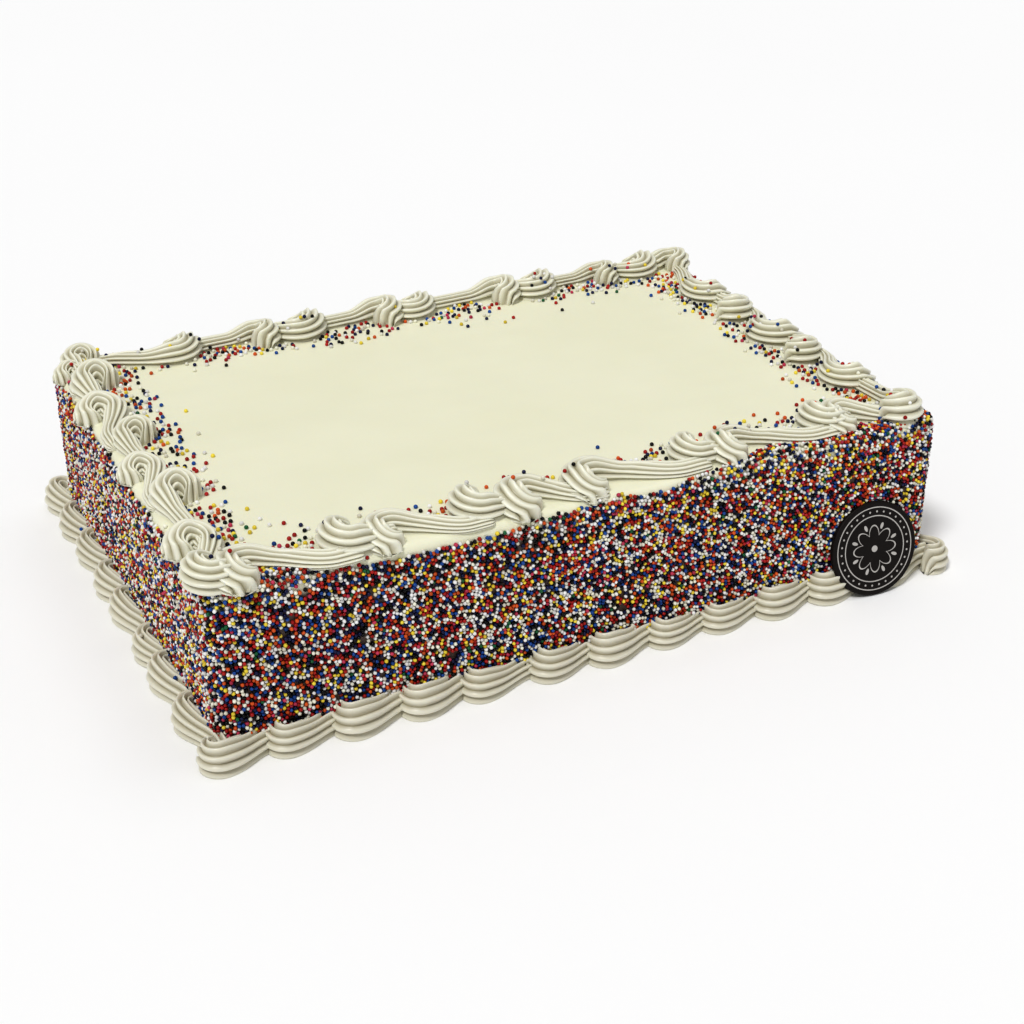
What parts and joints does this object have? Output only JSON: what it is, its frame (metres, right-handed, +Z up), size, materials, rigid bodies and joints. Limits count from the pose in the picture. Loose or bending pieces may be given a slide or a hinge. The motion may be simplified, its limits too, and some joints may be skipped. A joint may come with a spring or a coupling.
{
  "type": "decorated sheet cake",
  "caption": "Rectangular iced sheet cake with sprinkled walls, a piped shell border round the top and the foot, and a round chocolate disc leaning on the front.",
  "frame": {"origin": "middle of the cake's flat base, where it rests", "axes": "+Z up, +X along the long front wall from left to right, +Y from the front wall to the back wall"},
  "size_m": [0.3311, 0.2386, 0.0806],
  "materials": {
    "sprinkled_icing": "matte icing set with small glossy round sprinkles",
    "piped_icing": "soft satin icing",
    "piped_foot_icing": "soft satin icing",
    "dark_chocolate": "satin"
  },
  "bodies": {
    "root": {"cake": "sprinkled_icing", "top_border": "piped_icing", "bottom_border": "piped_foot_icing", "medallion": "dark_chocolate"}
  },
  "joints": []
}
